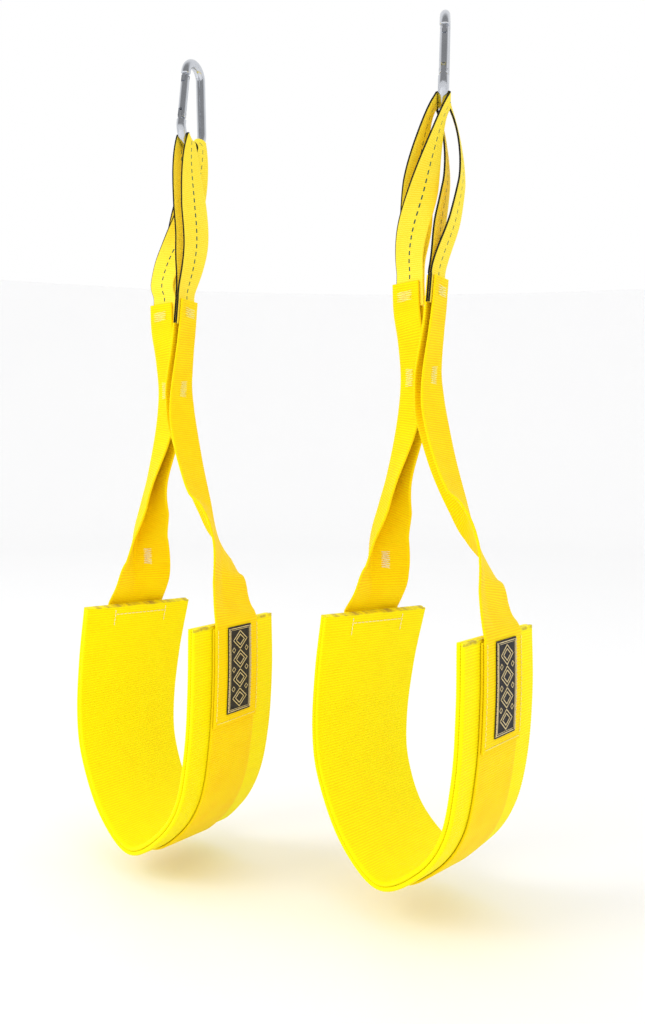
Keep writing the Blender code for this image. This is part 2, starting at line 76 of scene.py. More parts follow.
# ---- the CAD model's driving dimensions, millimetres and degrees -------------------------
PAIR_SPACING, HANG_STEP = 217.0, 7.5
HOOK_LENGTH, ROD = 78.0, 7.8
HOOK_TOP_R, HOOK_BOTTOM_R = 11.5, 16.0          # centre-line radii of the two end bends
NOSE_TURN = 177             # the top bend runs this far round, to the nose
GATE_ROD = 7.0
GATE_FOOT, GATE_HEAD = 2.7, 2.4     # the gate reaches past its hinge and its latch
HINGE_Z, LATCH_Z = -43.0, -11.5
WIDE, STRAP, LOOP = 101.6, 54.0, 25.0           # webbing of cuff, uprights and loops
CUFF_LAYER, STRAP_T, LOOP_T, LABEL_T = 3.2, 1.8, 1.4, 0.8
GAP, SEWN_GAP = 0.3, 0.5    # between layers, and under sewn straps
TONGUE, TONGUE_BACK = (3.0, 5.6, 10.6), 2.5     # flats at the body's hinge and nose
NOTCH, NOTCH_IN = (6.0, 6.4, 3.2), 1.6          # the nose's notch for the latch pin
SLOT_T, SLOT_W = 3.6, 9.0   # slots in the gate that straddle the tongues
LOW_SLOT, HIGH_SLOT = (0.4, 8.4), (-0.2, 8.0)   # offset from the pin, length
PIN_R, PIN_HOLE_R, PIN_HALF, DRILL = 1.2, 1.5, 3.3, 6
BORE_R, BORE_DEPTH = 2.2, 20
CUFF_TOP, STRAP_TOP = -454.2, -195.0            # tops of the panels and of the uprights
SEWN = 78.0                 # length of upright sewn down on the cuff
TUCK = 20.0                 # length of loop sewn inside the upright's fold
FOLD_R = 3.0                # centre-line radius of the uprights' lengthwise fold

# Rims of the cuff's middle surface, from the left panel's top edge round to the right
# panel's: (x, depth below the top edge).
NEAR_RIM = [(-67, 0), (-73, 46), (-74, 92), (-65, 127), (-38, 166), (0, 186.5),
            (38, 167), (63, 136), (73, 92), (75.5, 46), (75, 0)]
FAR_RIM = [(-57, 0), (-69, 46), (-76, 94), (-73, 131), (-53, 167), (-13, 187),
           (20, 165), (41, 134), (51, 94), (54, 46), (52, 0)]

# Routes of the uprights' crease from the cuff up to the folded top end:
# (x, y, z, heading of the folded legs, half opening angle, crease offset from mid-width).
LEFT_UPRIGHT = [(-63, -4, -434, -2, 74, -5), (-65, -3.5, -417, 0, 50, -5),
                (-64, -2.5, -392, -2, 31, -4), (-56.5, -1, -367, -4, 20, -2),
                (-49.5, 1.5, -342, -15, 8, 0), (-43, 3.5, -302, 0, 3, 0),
                (-40.5, 4, -270, 0, 1, 0), (-40.5, 0, -241, 6, 0, 0),
                (-43.5, -3, -217, 10, 0, 0), (-44.5, -4, -195, 10, 0, 0)]
RIGHT_UPRIGHT = [(64, -10, -441, -163, 96, -11), (58.5, -8, -428, -159, 98, -10),
                 (55, -6, -412, -153, 97, -8), (47.5, -2, -396, -148, 93, -4),
                 (36, 2, -378, -140, 80, 0), (26.5, 5.5, -361, -137, 61, 3),
                 (13, 8, -332, -126, 44, 4), (2.5, 9, -302, -113, 28, 4),
                 (-3, 9, -283, -95, 12, 3), (-6, 8.5, -264, -83, 4, 1),
                 (-4.5, 8, -236, -74, 0, 0), (-2.7, 8, -217, -72, 0, 0),
                 (-2, 8.7, -195, -71, 0, 0)]

# Each sling turns by yaw about its hang point, and its hook by hook_yaw within that; lean
# is its slope from plumb and inner_twist an extra turn of the inner loop halfway up.
# "outer" and "inner" give the middle of each loop's pair of legs, at fractions of the way
# up from the strap to the hook: (fraction, x, y).
SLINGS = [
    {"name": "left", "side": -1, "yaw": -22.0, "hook_yaw": 109.0, "outer_end": 1,
     "lean": 0.0057, "inner_twist": -25.0,
     "outer": [(0.05, -30, -1.2), (0.13, -32, -2), (0.25, -28.5, 1), (0.4, -22, 5), (0.6, -15, 9),
               (0.8, -9.5, 13), (1, -2, 7.8)],
     "inner": [(0.05, 3.4, -5.9), (0.2, 7, -5), (0.4, 9.5, -5), (0.6, 9, -7.5),
               (0.8, 6.5, -11), (1, 2, -7.8)]},
    {"name": "right", "side": 1, "yaw": -28.0, "hook_yaw": 131.9, "outer_end": -1,
     "lean": 0.0095, "inner_twist": 0.0,
     "outer": [(0.05, -29.5, -1.1), (0.15, -28.5, -2.5), (0.3, -22, -6), (0.5, -12, -11),
               (0.7, -2, -17.5), (0.85, 5.2, -20.2), (1, 5, -6.2)],
     "inner": [(0.05, 3.4, -5.8), (0.3, 5, 1), (0.5, 6.5, 5.5), (0.7, 2, 14), (0.85, -5, 19),
               (1, -5, 6.2)]},
]
LOOP_HEADING = {"outer": 10.0, "inner": 109.0}  # of a loop's width at its upright
LEAN_WAY = (0.928, 0.373, 0.0)
LEFT_W, RIGHT_W = 0.515, 0.47                   # middles of the uprights' sewn ends, 0 to 1
LABEL_REACH, LABEL_SPAN = (70.0, 3.0), (-13.0, 16.0)    # depths; from the strap's middle
SEAM, TOP_SEAM_AT, END_SEAM_AT = 48.0, 7.0, 75.4        # length and depths of seams
CARRIER_TRIM = 2.5          # the carrier stops this far below the panels' top edges
SETTLE = 24.0               # height in which an upright turns free of the panel
BUNCHED, LAP = 10.5, 0.08   # a loop's width when gathered in the hook, half angle between two
TUCK_IN, PLY, BOW = 15.4, 0.95, 0.8     # loop's depth in the fold, half gaps of its legs
FREE_FROM, GATHER_FROM = 0.05, 0.55     # shares of the way up a loop's leg
WRAP_R = ROD / 2 + SEWN_GAP + LOOP_T / 2
FLAT = 90.0                 # half opening of an unfolded strap
LOOP_BEND = (60, -2)        # two heights over the uprights' tops, worked out as points in make_loops and not used

# ---- detail that only the looks have -----------------------------------------------------
WIDE_RIB, STRAP_RIB, LOOP_RIB = (2.1, 0.28), (1.9, 0.26), (1.6, 0.2)    # pitch, height
LABEL_RIB = (1.1, 0.05)
STATIONS_PER_RIB = 4
SELVAGE_BEND = (90, 66, 42, 20)     # angles at which a rounded selvage is sampled
THREAD_R, THREAD_SIDES = 0.3, 6
STITCH, SHORT_STITCH, LABEL_STITCH = 3.6, 3.2, 3.0
TACK_STEPS, TACK_PITCH, THREAD_LIFT = 9, 0.85, 0.12
EDGE_SEAM_IN = 2.2          # of the seams along a strap's edges, then their first and last depth
TOP_EDGE_SEAM, END_EDGE_SEAM = (2.5, 17), (3, END_SEAM_AT - 2)
LABEL_BORDERS = ((1.5, 0.34), (2.7, 0.2))               # inset, thread radius
LOZENGES, LOZENGE_R = ((7.0, 8.6), (4.2, 5.2)), 0.36    # half lengths and half widths
SMALL_LOZENGE, SMALL_AT, SMALL_R = 2.0, 8.0, 0.24       # half size, place across, thread
STITCHES_IN = 0.7           # from the label's edge
ROD_SIDES, PIN_SIDES, RIVET_SIDES = 40, 24, 28
CUT_END, GATE_BEVEL = 0.55, (0.4, 0.5)          # broken edges of the hook's rod and the gate
RIVET_END = ((0.25, 0.7), (0.0, 1.7), (-0.35, 2.0), (-0.5, PIN_R))      # past the end, radius
PIN_END = ((0.0, PIN_R - 0.3), (-0.3, PIN_R))
WIDE_COLUMNS, STRAP_COLUMNS, LABEL_ROWS = 15, 9, 121
LEG_ROWS, WRAP_ROWS = 340, 40
BOTTOM_BEND_ROWS, TOP_BEND_ROWS, GATE_ROWS = 49, 41, 9
UPRIGHT_SAMPLES, FOLD_SAMPLES, FOLD_FINE, LOOP_SAMPLES = 1400, 6000, 200, 200
BLACK_EDGE = (0.6, 1.0)     # from one selvage: black before the first, none past the second
TRACER_AT, TRACER_HALF = 0.4, 0.45              # place and half width of the dashed thread
DASH, DASH_SHARE = 6.2, 0.55                    # pitch of its dashes and their share of it
BROWNED = (1.1, 0.1)        # from a cut end: none beyond the first, most within the second


# ---- vectors and curves --------------------------------------------------------------------
def unit(v):
    return v / np.linalg.norm(v, axis=-1, keepdims=True)


def heading(degrees):
    a = math.radians(degrees)
    return np.array([math.cos(a), math.sin(a), 0.0])


def ease(x):
    return x * x * (3 - 2 * x)


def smooth(points, count, fine=24):
    """Points evenly spaced along a Catmull-Rom curve through the given ones."""
    pts = np.asarray(points, float)
    ext = np.vstack([2 * pts[0] - pts[1], pts, 2 * pts[-1] - pts[-2]])
    t = np.linspace(0, 1, fine, endpoint=False)[:, None]
    parts = []
    for p0, p1, p2, p3 in zip(ext, ext[1:], ext[2:], ext[3:]):
        parts.append(0.5 * (2 * p1 + (p2 - p0) * t + (2 * p0 - 5 * p1 + 4 * p2 - p3) * t**2
                            + (3 * p1 - p0 - 3 * p2 + p3) * t**3))
    line = np.vstack([*parts, pts[-1:]])
    run = np.r_[0, np.cumsum(np.linalg.norm(np.diff(line[:, :3], axis=0), axis=1))]
    want = np.linspace(0, run[-1], count)
    return np.column_stack([np.interp(want, run, column) for column in line.T])


def spline(points, count):
    """The same points on a rounder line, each averaged three times with its neighbours."""
    line = smooth(points, count)
    for _ in range(3):
        line[1:-1] = (line[:-2] + 2 * line[1:-1] + line[2:]) / 4
    return line


def to_world(sling, points):
    a = math.radians(sling["yaw"])
    turn = np.array([[math.cos(a), math.sin(a), 0], [-math.sin(a), math.cos(a), 0], [0, 0, 1]])
    place = [sling["side"] * PAIR_SPACING / 2, 0, sling["side"] * HANG_STEP / 2]
    points = np.asarray(points, float)
    lean = points[..., 2:] * sling["lean"] * np.array(LEAN_WAY)
    return (points @ turn + lean + place) * MM


def normals(grid):
    return unit(np.cross(np.gradient(grid, axis=0), np.gradient(grid, axis=1)))


# ---- meshes ----------------------------------------------------------------------------------
def mesh_object(name, points, faces, cloth=None):
    mesh = bpy.data.meshes.new(name)
    mesh.from_pydata([tuple(p) for p in points], [], faces)
    if cloth is not None:
        layer = mesh.attributes.new("cloth", "FLOAT_VECTOR", "POINT")
        layer.data.foreach_set("vector", np.ascontiguousarray(cloth, np.float32).ravel())
    mesh.update()
    mesh.shade_smooth()
    obj = bpy.data.objects.new(name, mesh)
    bpy.context.scene.collection.objects.link(obj)
    return obj


def run_of(grid):
    """Distance along the middle of a grid of rows, in millimetres."""
    line = grid[:, grid.shape[1] // 2]
    return np.r_[0, np.cumsum(np.linalg.norm(np.diff(line, axis=0), axis=1))]


def strap_object(sling, name, grid, u, thick, rib):
    """A woven strap: rows of points along it, columns at u across it, ribbed on both faces.

    rib is (pitch, height); the selvages are rounded, and the attribute 'cloth' holds each
    point's place on the flat strap in millimetres.
    """
    n = normals(grid)
    rows, cols = grid.shape[:2]
    s = run_of(grid)
    u = np.asarray(u, float)
    radius = thick / 2
    edge = np.clip((np.abs(u) - (np.abs(u).max() - radius)) / radius, 0, 1)
    half = radius * np.sqrt(1 - edge**2)
    pitch, height = rib
    inside = 1 - edge**4
    swell = height * np.abs(np.sin(math.pi * s / pitch))[:, None] * inside
    dip = height * np.abs(np.cos(math.pi * s / pitch))[:, None] * inside
    top = grid + n * (half + swell - height / 2 * inside)[..., None]
    low = grid - n * (half + dip - height / 2 * inside)[..., None]
    points = np.concatenate([to_world(sling, top).reshape(-1, 3),
                             to_world(sling, low[:, 1:-1]).reshape(-1, 3)])
    flat = np.stack(np.broadcast_arrays(u[None, :], s[:, None]), axis=-1)
    cloth = np.concatenate([np.concatenate([flat, np.ones((rows, cols, 1))], -1).reshape(-1, 3),
                            np.concatenate([flat[:, 1:-1], -np.ones((rows, cols - 2, 1))],
                                           -1).reshape(-1, 3)])
    upper = np.arange(rows * cols).reshape(rows, cols)
    lower = upper.copy()
    lower[:, 1:-1] = rows * cols + np.arange(rows * (cols - 2)).reshape(rows, cols - 2)
    faces = []
    for side, flip in ((upper, False), (lower, True)):
        quads = np.stack([side[:-1, :-1], side[1:, :-1], side[1:, 1:], side[:-1, 1:]], -1)
        quads = quads.reshape(-1, 4)
        faces += (quads[:, ::-1] if flip else quads).tolist()
    for row, flip in ((0, False), (rows - 1, True)):
        for j in range(cols - 1):
            ring = [upper[row, j], upper[row, j + 1], lower[row, j + 1], lower[row, j]]
            ring = [int(v) for k, v in enumerate(ring) if v not in ring[:k]]
            faces.append(ring[::-1] if flip else ring)
    obj = mesh_object(name, points, faces, cloth)
    sharpen(obj)
    return obj


def sharpen(obj, degrees=60):
    bm = bmesh.new()
    bm.from_mesh(obj.data)
    bmesh.ops.recalc_face_normals(bm, faces=bm.faces)
    bm.to_mesh(obj.data)
    bm.free()
    obj.data.set_sharp_from_angle(angle=math.radians(degrees))


def columns(width, inner, thick):
    """Places across a strap: rounded selvages and the given count between them."""
    half, r = width / 2, thick / 2
    bend = [half - r + r * math.sin(math.radians(a)) for a in SELVAGE_BEND]
    middle = np.linspace(-(half - r), half - r, inner)
    return np.array([-b for b in bend] + list(middle) + bend[::-1])


def tube(sling, path, radius, sides, axis=None):
    """Points and faces of a round bar along a path; radius is one value, or one a point.

    axis is square to the path; without it, any direction that no path runs along will do.
    """
    path = np.asarray(path, float)
    tangent = unit(np.gradient(path, axis=0))
    if axis is None:
        axis = np.array([0.31, 0.57, 0.76])
    side = unit(np.cross(axis, tangent))
    up = np.cross(tangent, side)
    turn = np.arange(sides) * math.tau / sides
    radii = np.broadcast_to(np.asarray(radius, float), (len(path),))
    rings = [p + r * (np.outer(np.cos(turn), a) + np.outer(np.sin(turn), b))
             for p, r, a, b in zip(path, radii, side, up)]
    points = to_world(sling, np.concatenate(rings))
    faces = []
    for i in range(len(path) - 1):
        for k in range(sides):
            m = (k + 1) % sides
            faces.append([i * sides + k, i * sides + m, (i + 1) * sides + m, (i + 1) * sides + k])
    faces.append(list(range(sides))[::-1])
    faces.append([(len(path) - 1) * sides + k for k in range(sides)])
    return points, faces


def body_of(name, part, degrees=35):
    """One closed body, its sharp edges kept."""
    obj = mesh_object(name, *part)
    sharpen(obj, degrees)
    return obj


def block(sling, frame, size):
    """Points and faces of a box on three axes (frame[1:]) about the centre frame[0]."""
    centre, axes = np.asarray(frame[0], float), np.asarray(frame[1:], float)
    signs = np.array([(x, y, z) for x in (-1, 1) for y in (-1, 1) for z in (-1, 1)])
    points = to_world(sling, centre + (signs * np.asarray(size) / 2) @ axes)
    return points, [[0, 1, 3, 2], [4, 6, 7, 5], [0, 4, 5, 1], [2, 3, 7, 6], [0, 2, 6, 4],
                    [1, 5, 7, 3]]


def carve(obj, part, operation="DIFFERENCE"):
    """Cut or join a shape given as (points, faces) into an object, at once."""
    tool = body_of("tool", part)
    mod = obj.modifiers.new("carve", "BOOLEAN")
    mod.operation = operation
    mod.object = tool
    graph = bpy.context.evaluated_depsgraph_get()
    mesh = bpy.data.meshes.new_from_object(obj.evaluated_get(graph))
    obj.modifiers.clear()
    obj.data = mesh
    bpy.data.objects.remove(tool)
    sharpen(obj, 35)


def joined(name, parts):
    """One object of many closed shapes given as (points, faces)."""
    points, faces, base = [], [], 0
    for p, f in parts:
        points.append(p)
        faces += [[v + base for v in face] for face in f]
        base += len(p)
    obj = mesh_object(name, np.concatenate(points), faces)
    sharpen(obj, 70)
    return obj


def dress(piece, body, mat, slot, *nodes):
    """Material, body and the CAD nodes that the piece stands for; slot is not used."""
    piece.data.materials.append(mat)
    if body:
        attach(piece, body)
    if nodes:
        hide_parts(*nodes)


def lay(grid):
    """Work out the length that a strap runs, in metres, and keep nothing of it."""
    float(run_of(grid)[-1]) * MM


# ---- node materials --------------------------------------------------------------------------
class Shader:
    """A Principled material with a few shorthands for its node tree."""

    def __init__(self, name, roughness, metallic=0.0, specular=0.5, sheen=0.0):
        self.mat = bpy.data.materials.new(name)
        self.mat.use_nodes = True
        self.tree = self.mat.node_tree
        self.bsdf = self.tree.nodes["Principled BSDF"]
        self.bsdf.inputs["Roughness"].default_value = roughness
        self.bsdf.inputs["Metallic"].default_value = metallic
        self.bsdf.inputs["Specular IOR Level"].default_value = specular
        self.bsdf.inputs["Sheen Weight"].default_value = sheen
        self.bsdf.inputs["Sheen Roughness"].default_value = 0.45

    def set(self, socket, value):
        if hasattr(value, "links"):
            self.tree.links.new(value, socket)
        else:
            socket.default_value = value

    def math(self, operation, a, b=0.0):
        node = self.tree.nodes.new("ShaderNodeMath")
        node.operation = operation
        for socket, value in zip(node.inputs, (a, b)):
            self.set(socket, value)
        return node.outputs[0]

    def cloth(self):
        """Sockets of a point's place on the flat strap: across, along, face, and all three."""
        node = self.tree.nodes.new("ShaderNodeAttribute")
        node.attribute_name = "cloth"
        parts = self.tree.nodes.new("ShaderNodeSeparateXYZ")
        self.tree.links.new(node.outputs["Vector"], parts.inputs[0])
        return parts.outputs[0], parts.outputs[1], parts.outputs[2], node.outputs["Vector"]

    def wave(self, value, pitch):
        return self.math("SINE", self.math("MULTIPLY", value, math.pi / pitch))

    def ramp(self, value, low, high):
        """0 below low and 1 above high."""
        node = self.tree.nodes.new("ShaderNodeMapRange")
        node.inputs["From Min"].default_value = low
        node.inputs["From Max"].default_value = high
        self.set(node.inputs["Value"], value)
        return node.outputs[0]

    def band(self, value, centre, half, soft):
        """1 within half of the centre, falling to 0 over soft."""
        away = self.math("ABSOLUTE", self.math("SUBTRACT", value, centre))
        return self.ramp(away, half + soft, half)

    def noise(self, scale, detail=2.0, vector=None, stretch=None):
        node = self.tree.nodes.new("ShaderNodeTexNoise")
        node.inputs["Scale"].default_value = scale
        node.inputs["Detail"].default_value = detail
        if vector is None:
            vector = self.tree.nodes.new("ShaderNodeTexCoord").outputs["Object"]
        if stretch is not None:
            mapping = self.tree.nodes.new("ShaderNodeMapping")
            mapping.inputs["Scale"].default_value = stretch
            self.tree.links.new(vector, mapping.inputs["Vector"])
            vector = mapping.outputs[0]
        self.tree.links.new(vector, node.inputs["Vector"])
        return node.outputs["Fac"]

    def mix(self, factor, a, b):
        node = self.tree.nodes.new("ShaderNodeMix")
        node.data_type = "RGBA"
        self.set(node.inputs["Factor"], factor)
        for socket, value in ((node.inputs["A"], a), (node.inputs["B"], b)):
            self.set(socket, (*value, 1.0) if isinstance(value, tuple) else value)
        return node.outputs["Result"]

    def colour(self, value):
        self.set(self.bsdf.inputs["Base Color"],
                 (*value, 1.0) if isinstance(value, tuple) else value)

    def bump(self, height, distance, strength=1.0):
        node = self.tree.nodes.new("ShaderNodeBump")
        node.inputs["Strength"].default_value = strength
        node.inputs["Distance"].default_value = distance
        self.set(node.inputs["Height"], height)
        self.tree.links.new(node.outputs[0], self.bsdf.inputs["Normal"])

    def rough(self, value):
        self.set(self.bsdf.inputs["Roughness"], value)


def webbing(name, light, deep, yarn, pitch, half_width, tracer=False, burnt_ends=None):
    """Woven nylon: warp yarns along the strap, ribs across it, painted shade in the grooves
    between.

    tracer adds a black selvage and a dashed line of green thread; burnt_ends is the length of
    a strap whose cut ends are browned.
    """
    sh = Shader(name, 0.62, specular=0.10, sheen=0.02)
    across, along, face, place = sh.cloth()
    phase = sh.math("ADD", along, sh.math("MULTIPLY", sh.math("SUBTRACT", 1.0, face), pitch / 4))
    crown = sh.math("ABSOLUTE", sh.wave(phase, pitch))
    check = sh.math("MULTIPLY", sh.wave(across, yarn), sh.wave(phase, pitch / 2))
    fuzz = sh.noise(1.6, 3.0, place, (1.0, 0.35, 1.0))
    height = sh.math("ADD", sh.math("MULTIPLY", check, 0.35), sh.math("MULTIPLY", fuzz, 0.3))
    cloud = sh.math("MULTIPLY", sh.noise(0.06, 3.0, place), 0.4)
    # The crowns of yarns and ribs take the light colour and the grooves take the deep one, as
    # painted shade of the weave's relief. The cloud adds random mottling, which is the webbing's
    # own tone.
    tone = sh.math("ADD", sh.math("ADD", sh.math("MULTIPLY", height, 0.25), cloud),
                   sh.math("MULTIPLY", crown, 0.6))
    colour = sh.mix(sh.ramp(tone, 0.15, 0.85), deep, light)
    # Lighter towards the selvages: a painted highlight on the rounded edges.
    edge = sh.ramp(sh.math("ABSOLUTE", across), half_width - 2.6, half_width - 1.4)
    colour = sh.mix(sh.math("MULTIPLY", edge, 0.35), colour, light)
    if tracer:
        yellow = sh.ramp(across, *(cut - half_width for cut in BLACK_EDGE))
        colour = sh.mix(yellow, (0.014, 0.015, 0.012), colour)
        dash = sh.ramp(sh.math("FRACT", sh.math("DIVIDE", along, DASH)), DASH_SHARE + 0.03,
                       DASH_SHARE - 0.03)
        line = sh.math("MULTIPLY", sh.band(across, TRACER_AT, TRACER_HALF, 0.25), dash)
        colour = sh.mix(line, colour, (0.012, 0.10, 0.085))
    if burnt_ends:
        middle = burnt_ends / 2
        far = sh.math("ABSOLUTE", sh.math("SUBTRACT", along, middle))
        burnt = sh.math("MULTIPLY", sh.ramp(far, *(middle - cut for cut in BROWNED)),
                        sh.ramp(sh.noise(0.12, 3.0, place), 0.42, 0.62))
        colour = sh.mix(sh.math("MULTIPLY", burnt, 0.6), colour, (0.24, 0.09, 0.08))
    sh.colour(colour)
    sh.rough(sh.math("ADD", sh.math("MULTIPLY", fuzz, -0.2), 0.72))
    sh.bump(height, 0.00018, 0.6)
    return sh.mat


def thread_material(name, light, deep):
    sh = Shader(name, 0.55, sheen=0.3)
    sh.colour(sh.mix(sh.noise(900.0, 2.0), deep, light))
    sh.bump(sh.noise(2600.0, 1.0), 0.0001, 0.6)
    return sh.mat


def steel_material(name, roughness, tint):
    """Polished zinc-plated steel with faint drawing marks along the rod and painted reflection
    mottling.
    """
    sh = Shader(name, roughness, metallic=1.0)
    marks = sh.noise(900.0, 3.0, None, (1.0, 1.0, 0.05))
    cloud = sh.noise(60.0, 2.0)
    # The colour is mottled between two greys by a cloud noise: painted reflections on the polished
    # steel.
    sh.colour(sh.mix(cloud, tint, (0.66, 0.68, 0.72)))
    sh.rough(sh.math("ADD", sh.math("MULTIPLY", marks, 0.12), roughness - 0.04))
    return sh.mat


def label_material():
    """Charcoal woven satin with fine ribs."""
    sh = Shader("woven_label", 0.7, specular=0.15, sheen=0.04)
    across, along, _, place = sh.cloth()
    twill = sh.math("SINE", sh.math("MULTIPLY", sh.math("ADD", across, along), math.tau / 0.9))
    tone = sh.math("ADD", sh.math("MULTIPLY", twill, 0.3), sh.noise(1.2, 2.0, place))
    sh.colour(sh.mix(sh.ramp(tone, 0.1, 0.9), (0.014, 0.013, 0.014), (0.05, 0.047, 0.05)))
    sh.bump(twill, 0.0001, 0.6)
    return sh.mat


# Each second colour is painted shade in the weave's grooves, and also the deep end of the webbing's
# random mottling.
YELLOW, YELLOW_MOTTLE_AND_SHADE = (0.98, 0.91, 0.0), (0.96, 0.72, 0.0)
GOLDEN, GOLDEN_MOTTLE_AND_SHADE = (0.98, 0.78, 0.0), (0.95, 0.53, 0.0)
PALE, PALE_MOTTLE_AND_SHADE = (0.98, 0.82, 0.07), (0.97, 0.68, 0.01)


# ---- hook ------------------------------------------------------------------------------------
TOP_CENTRE = (1.0, ROD / 2 - HOOK_TOP_R)
BOTTOM_CENTRE = (0.0, ROD - HOOK_LENGTH + ROD / 2 + HOOK_BOTTOM_R)


def hook_frame(sling):
    """Unit axes of the hook: along its plane, across it, up."""
    along = heading(sling["hook_yaw"])
    return along, np.cross(along, [0, 0, 1.0]), np.array([0, 0, 1.0])


def hook_points(sling, flat):
    along, _, up = hook_frame(sling)
    return np.array([a * along + z * up for a, z in flat])


def arc(centre, radius, start, end, count):
    turn = np.radians(np.linspace(start, end, count))
    return [(centre[0] + radius * math.cos(t), centre[1] + radius * math.sin(t)) for t in turn]


def on_gate_line(z):
    """The point at height z on the line that joins the gate sides of the two bends."""
    f = (z - BOTTOM_CENTRE[1]) / (TOP_CENTRE[1] - BOTTOM_CENTRE[1])
    low, high = BOTTOM_CENTRE[0] - HOOK_BOTTOM_R, TOP_CENTRE[0] - HOOK_TOP_R
    return low + f * (high - low), z


def gate_frame(sling):
    """Hinge point, latch point, direction from one to the other, and inwards."""
    hinge, latch = hook_points(sling, [on_gate_line(HINGE_Z), on_gate_line(LATCH_Z)])
    gate_dir = unit(latch - hinge)
    return hinge, latch, gate_dir, np.cross(gate_dir, hook_frame(sling)[1])


def along_line(point, direction, *distances):
    return [point + direction * d for d in distances]


def lathe_path(point, direction, profile):
    """Path and radii of a turned part from (distance, radius) pairs."""
    return [point + direction * d for d, _ in profile], [r for _, r in profile]


def pin_profile(end):
    """Profile of a pin alike at both ends, each given as (distance past it, radius) pairs."""
    first = [(-PIN_HALF - past, r) for past, r in end]
    return first + [(-d, r) for d, r in reversed(first)]


def make_hook(sling, mats):
    name = sling["name"]
    across = hook_frame(sling)[1]
    hinge, latch, gate_dir, inward = gate_frame(sling)
    stub = on_gate_line(HINGE_Z - ROD / 2)
    middle = [*arc(BOTTOM_CENTRE, HOOK_BOTTOM_R, 180, 360, BOTTOM_BEND_ROWS),
              *arc(TOP_CENTRE, HOOK_TOP_R, 0, NOSE_TURN, TOP_BEND_ROWS)]
    line = hook_points(sling, [stub, (stub[0], stub[1] - 0.5), *middle])
    line = np.vstack([line, line[-1] + 0.6 * unit(line[-1] - line[-2])])
    radii = np.full(len(line), ROD / 2)
    radii[[0, -1]] -= CUT_END
    body = body_of(f"{name}_hook", tube(sling, line, radii, ROD_SIDES, across))
    for point, reach in ((hinge, 1), (latch, -1)):
        frame = [point - gate_dir * reach * TONGUE_BACK, across, inward, gate_dir]
        carve(body, block(sling, frame, TONGUE), "UNION")
    drill = along_line(hinge, across, -DRILL, 0, DRILL)
    carve(body, tube(sling, drill, PIN_HOLE_R, PIN_SIDES, gate_dir))
    frame = [latch + inward * NOTCH_IN, across, inward, gate_dir]
    carve(body, block(sling, frame, NOTCH))
    dress(body, "hooks", mats["steel"], "polished_steel", f"{name}_hook_body")
    path, radii = lathe_path(hinge, across, pin_profile(RIVET_END))
    rivet = body_of(f"{name}_rivet", tube(sling, path, radii, RIVET_SIDES, gate_dir))
    dress(rivet, "hooks", mats["steel_dull"], "polished_steel", f"{name}_hinge_rivet")


def make_gate(sling, mats):
    """A bored rod, slotted at both ends to straddle the body's tongues."""
    name = sling["name"]
    body = f"{name}_gate_body"
    across = hook_frame(sling)[1]
    hinge, latch, gate_dir, inward = gate_frame(sling)
    reach = np.linalg.norm(latch - hinge) + GATE_HEAD
    r = GATE_ROD / 2
    bevel, cut = GATE_BEVEL
    profile = [(-GATE_FOOT, r - cut), (bevel - GATE_FOOT, r),
               *[(d, r) for d in np.linspace(-1, reach - 1.5, GATE_ROWS)],
               (reach - bevel, r), (reach, r - cut)]
    path, radii = lathe_path(hinge, gate_dir, profile)
    gate = body_of(f"{name}_gate_rod", tube(sling, path, radii, ROD_SIDES, across))
    for point, (offset, length) in ((hinge, LOW_SLOT), (latch, HIGH_SLOT)):
        frame = [point + gate_dir * offset, across, inward, gate_dir]
        carve(gate, block(sling, frame, (SLOT_T, SLOT_W, length)))
    bore = along_line(hinge, gate_dir, 0, BORE_DEPTH / 2, BORE_DEPTH)
    carve(gate, tube(sling, bore, BORE_R, PIN_SIDES, across))
    for point in (hinge, latch):
        drill = along_line(point, across, -DRILL, 0, DRILL)
        carve(gate, tube(sling, drill, PIN_HOLE_R, PIN_SIDES, gate_dir))
    dress(gate, body, mats["steel"], "polished_steel", f"{name}_gate")
    path, radii = lathe_path(latch, across, pin_profile(PIN_END))
    pin = body_of(f"{name}_pin", tube(sling, path, radii, PIN_SIDES, gate_dir))
    dress(pin, body, mats["steel_dull"], "polished_steel", f"{name}_latch_pin")


# ---- cuff --------------------------------------------------------------------------------------
def rim(points, y, samples=641):
    flat = spline(points, samples)
    return np.column_stack([flat[:, 0], np.full(samples, y), CUFF_TOP - flat[:, 1]])


NEAR, FAR = rim(NEAR_RIM, -WIDE / 2), rim(FAR_RIM, WIDE / 2)
RIM_LENGTH = np.linalg.norm(np.diff(NEAR, axis=0), axis=1).sum()


def cuff_grid(s_values, w_rows, offset=0.0):
    """Points of the cuff at fractions s round its rim and w across it, moved outwards."""
    at = np.asarray(s_values, float) * (len(NEAR) - 1)
    index = np.arange(len(NEAR))
    near, far = (np.column_stack([np.interp(at, index, c) for c in r.T]) for r in (NEAR, FAR))
    near_t, far_t = (np.column_stack([np.interp(at, index, c)
                                      for c in np.gradient(r, axis=0).T]) for r in (NEAR, FAR))
    w = np.broadcast_to(np.asarray(w_rows, float), (len(at), np.shape(w_rows)[-1]))[..., None]
    grid = near[:, None] * (1 - w) + far[:, None] * w
    along = near_t[:, None] * (1 - w) + far_t[:, None] * w
    out = unit(np.cross((far - near)[:, None] * np.ones_like(w), along))
    return grid + offset * out, out


LAYER_1 = -(CUFF_LAYER + GAP) / 2
LAYER_2 = (CUFF_LAYER + GAP) / 2
CARRIER = LAYER_2 + CUFF_LAYER / 2 + SEWN_GAP + STRAP_T / 2
UPRIGHT_AT = CARRIER + STRAP_T + SEWN_GAP
LABEL_AT = UPRIGHT_AT + STRAP_T / 2 + GAP + LABEL_T / 2


def stations(length, pitch):
    return int(round(length / pitch * STATIONS_PER_RIB)) + 1


